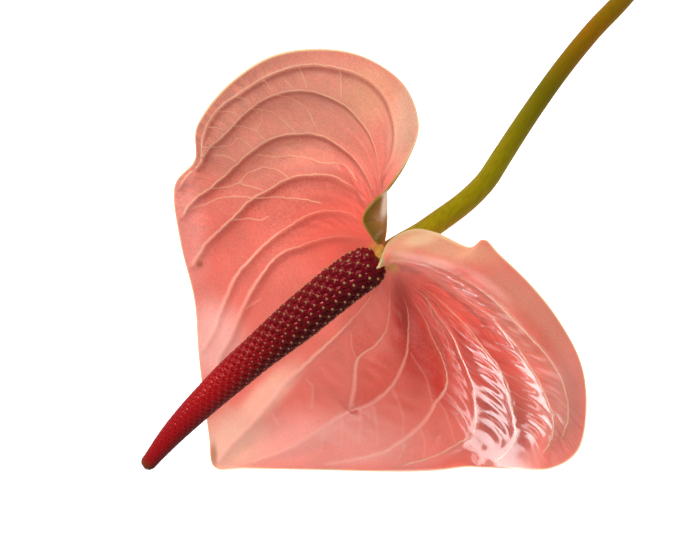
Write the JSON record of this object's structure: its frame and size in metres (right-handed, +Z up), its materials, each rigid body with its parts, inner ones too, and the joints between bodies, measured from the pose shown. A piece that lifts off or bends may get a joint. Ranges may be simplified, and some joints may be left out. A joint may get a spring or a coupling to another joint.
{
  "type": "cut anthurium stem",
  "caption": "Lying cut flower: a waved, ribbed heart-shaped spathe with a tapering floret-covered spadix on a long bent bare stem.",
  "frame": {"origin": "middle of the whole part's box, on the surface that it lies on", "axes": "+Z up from the surface, +Y from the flower towards the cut end of the stem, +X to the right lobe of the spathe"},
  "size_m": [0.1212, 0.3662, 0.0711],
  "materials": {
    "stem": "smooth green-brown plant skin",
    "spathe": "waxy salmon-pink petal skin with paler raised veins",
    "spadix": "dark red packed florets with pale crowns"
  },
  "bodies": {
    "root": {"stem": "stem", "spathe": "spathe", "spadix": "spadix"}
  },
  "joints": []
}
